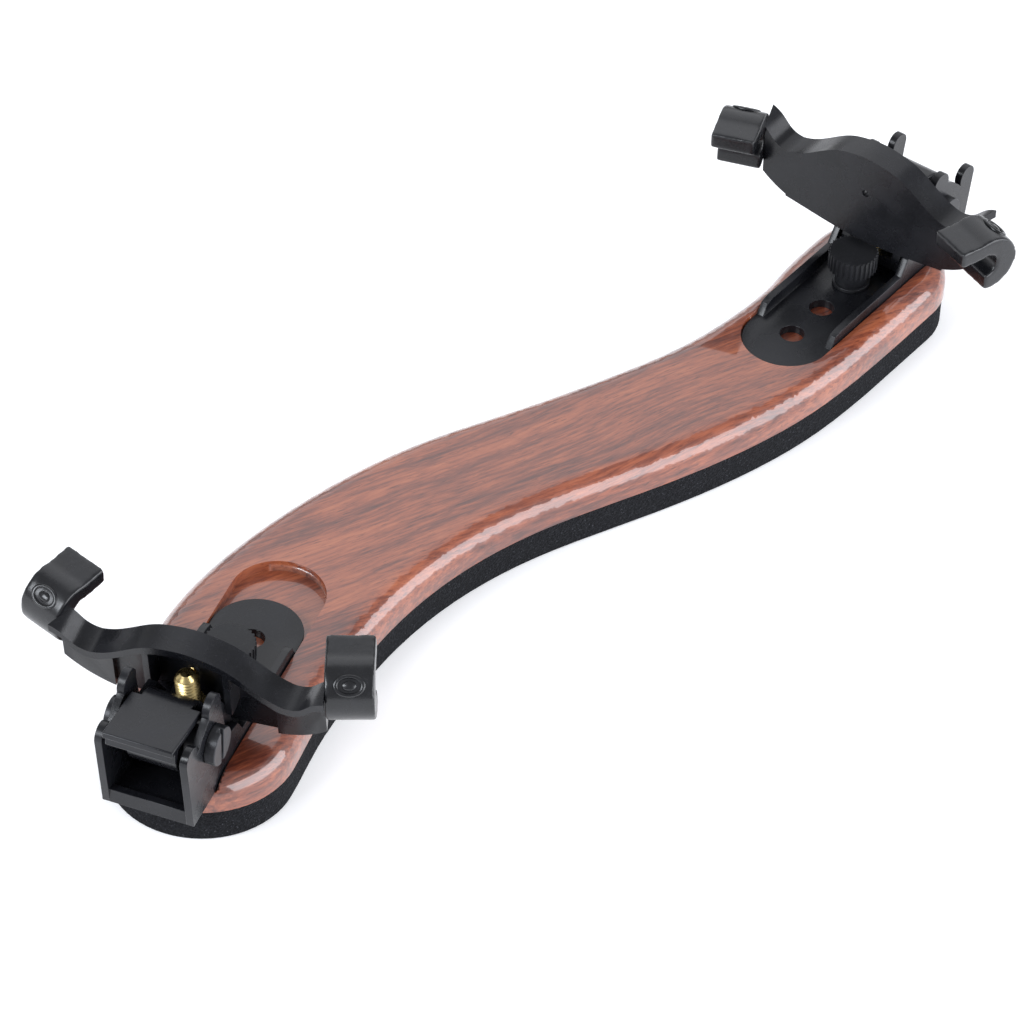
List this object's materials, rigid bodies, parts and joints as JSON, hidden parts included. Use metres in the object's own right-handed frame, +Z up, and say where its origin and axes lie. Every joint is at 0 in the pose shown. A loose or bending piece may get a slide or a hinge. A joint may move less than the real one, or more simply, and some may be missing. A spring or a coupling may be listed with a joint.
{
  "type": "violin shoulder rest",
  "caption": "Curved wooden bar on a foam pad, with a folding bracket at each end whose height-adjustable fork grips the edge of a violin.",
  "frame": {"origin": "midway between the round inner ends of the two base plates, on the underside of the foam pad", "axes": "+X along the bar from the wide end to the narrow end, +Z up from the foam to the forks, +Y towards the side where the bar bulges near its wide end"},
  "size_m": [0.2893, 0.1012, 0.0535],
  "materials": {
    "lacquered_wood": "glossy lacquer, dark fine grain",
    "foam": "matte closed-cell foam",
    "black_plastic": "satin moulded",
    "knob_plastic": "satin moulded, fluted rim",
    "black_rubber": "glossy rubber",
    "dark_steel": "blackened",
    "brass": "turned"
  },
  "bodies": {
    "bar": {"wood_bar": "lacquered_wood", "foam_pad": "foam", "wide_end_base_plate": "black_plastic", "wide_end_pivot_pin": "dark_steel", "wide_end_pin_cap": "dark_steel", "wide_end_threaded_insert": "brass", "narrow_end_base_plate": "black_plastic", "narrow_end_pivot_pin": "dark_steel", "narrow_end_pin_cap": "dark_steel", "narrow_end_threaded_insert": "brass"},
    "wide_end_lever": {"wide_end_lock_lever": "black_plastic"},
    "wide_end_leg": {"wide_end_leg_block": "black_plastic"},
    "wide_end_screw": {"wide_end_height_screw": "brass", "wide_end_screw_clip": "dark_steel"},
    "wide_end_fork_set": {"wide_end_fork": "black_plastic", "wide_end_fork_nut": "brass", "wide_end_right_boot": "black_rubber", "wide_end_left_boot": "black_rubber"},
    "wide_end_washer": {"wide_end_clamp_washer": "dark_steel"},
    "wide_end_thumbscrew": {"wide_end_thumbscrew_knob": "knob_plastic", "wide_end_thumbscrew_stud": "dark_steel"},
    "narrow_end_lever": {"narrow_end_lock_lever": "black_plastic"},
    "narrow_end_leg": {"narrow_end_leg_block": "black_plastic"},
    "narrow_end_screw": {"narrow_end_height_screw": "brass", "narrow_end_screw_clip": "dark_steel"},
    "narrow_end_fork_set": {"narrow_end_fork": "black_plastic", "narrow_end_fork_nut": "brass", "narrow_end_right_boot": "black_rubber", "narrow_end_left_boot": "black_rubber"},
    "narrow_end_washer": {"narrow_end_clamp_washer": "dark_steel"},
    "narrow_end_thumbscrew": {"narrow_end_thumbscrew_knob": "knob_plastic", "narrow_end_thumbscrew_stud": "dark_steel"}
  },
  "joints": [
    {"name": "wide_end_lever_swing", "type": "hinge", "parent": "bar", "child": "wide_end_lever", "pos_m": [-0.126, -0.02349, 0.0308], "axis": [0.4726, -0.8813, 0], "range_deg": [0, 75]},
    {"name": "wide_end_leg_tilt", "type": "hinge", "parent": "bar", "child": "wide_end_leg", "pos_m": [-0.126, -0.02349, 0.0308], "axis": [0.4726, -0.8813, 0], "range_deg": [0, 12]},
    {"name": "wide_end_screw_turn", "type": "hinge", "parent": "wide_end_leg", "child": "wide_end_screw", "pos_m": [-0.11548, -0.01785, 0.0328], "axis": [-0.1455, -0.078, 0.9863], "range_deg": [-180.05, 3961.1]},
    {"name": "wide_end_fork_lift", "type": "slide", "parent": "wide_end_leg", "child": "wide_end_fork_set", "axis": [-0.1455, -0.078, 0.9863], "range_m": [-0.0005, 0.011]},
    {"name": "wide_end_clamp_lift", "type": "slide", "parent": "bar", "child": "wide_end_washer", "axis": [0, 0, 1], "range_m": [0, 0.004]},
    {"name": "wide_end_clamp_turn", "type": "hinge", "parent": "wide_end_washer", "child": "wide_end_thumbscrew", "pos_m": [-0.09542, -0.00709, 0.0165], "axis": [0, 0, 1], "range_deg": [0, 1800.5]},
    {"name": "narrow_end_lever_swing", "type": "hinge", "parent": "bar", "child": "narrow_end_lever", "pos_m": [0.1308, 0.01042, 0.0308], "axis": [-0.2096, 0.9778, 0], "range_deg": [-70, 0]},
    {"name": "narrow_end_leg_tilt", "type": "hinge", "parent": "bar", "child": "narrow_end_leg", "pos_m": [0.1308, 0.01042, 0.0308], "axis": [-0.2096, 0.9778, 0], "range_deg": [-1.5, 8]},
    {"name": "narrow_end_screw_turn", "type": "hinge", "parent": "narrow_end_leg", "child": "narrow_end_screw", "pos_m": [0.11897, 0.00788, 0.03036], "axis": [-0.0358, -0.0077, 0.9993], "range_deg": [-180.05, 180.05]},
    {"name": "narrow_end_fork_lift", "type": "slide", "parent": "narrow_end_leg", "child": "narrow_end_fork_set", "axis": [-0.0358, -0.0077, 0.9993], "range_m": [-0.0005, 0.0005]},
    {"name": "narrow_end_clamp_lift", "type": "slide", "parent": "bar", "child": "narrow_end_washer", "axis": [0, 0, 1], "range_m": [0, 0.0004]},
    {"name": "narrow_end_clamp_turn", "type": "hinge", "parent": "narrow_end_washer", "child": "narrow_end_thumbscrew", "pos_m": [0.10919, 0.00579, 0.0165], "axis": [0, 0, 1], "range_deg": [0, 180.05]}
  ],
  "couplings": [
    {"joint": "wide_end_screw_turn", "follows": "wide_end_fork_lift", "rad_per_m": 6283.2},
    {"joint": "wide_end_clamp_turn", "follows": "wide_end_clamp_lift", "rad_per_m": 7854},
    {"joint": "narrow_end_screw_turn", "follows": "narrow_end_fork_lift", "rad_per_m": 6283.2},
    {"joint": "narrow_end_clamp_turn", "follows": "narrow_end_clamp_lift", "rad_per_m": 7854}
  ]
}
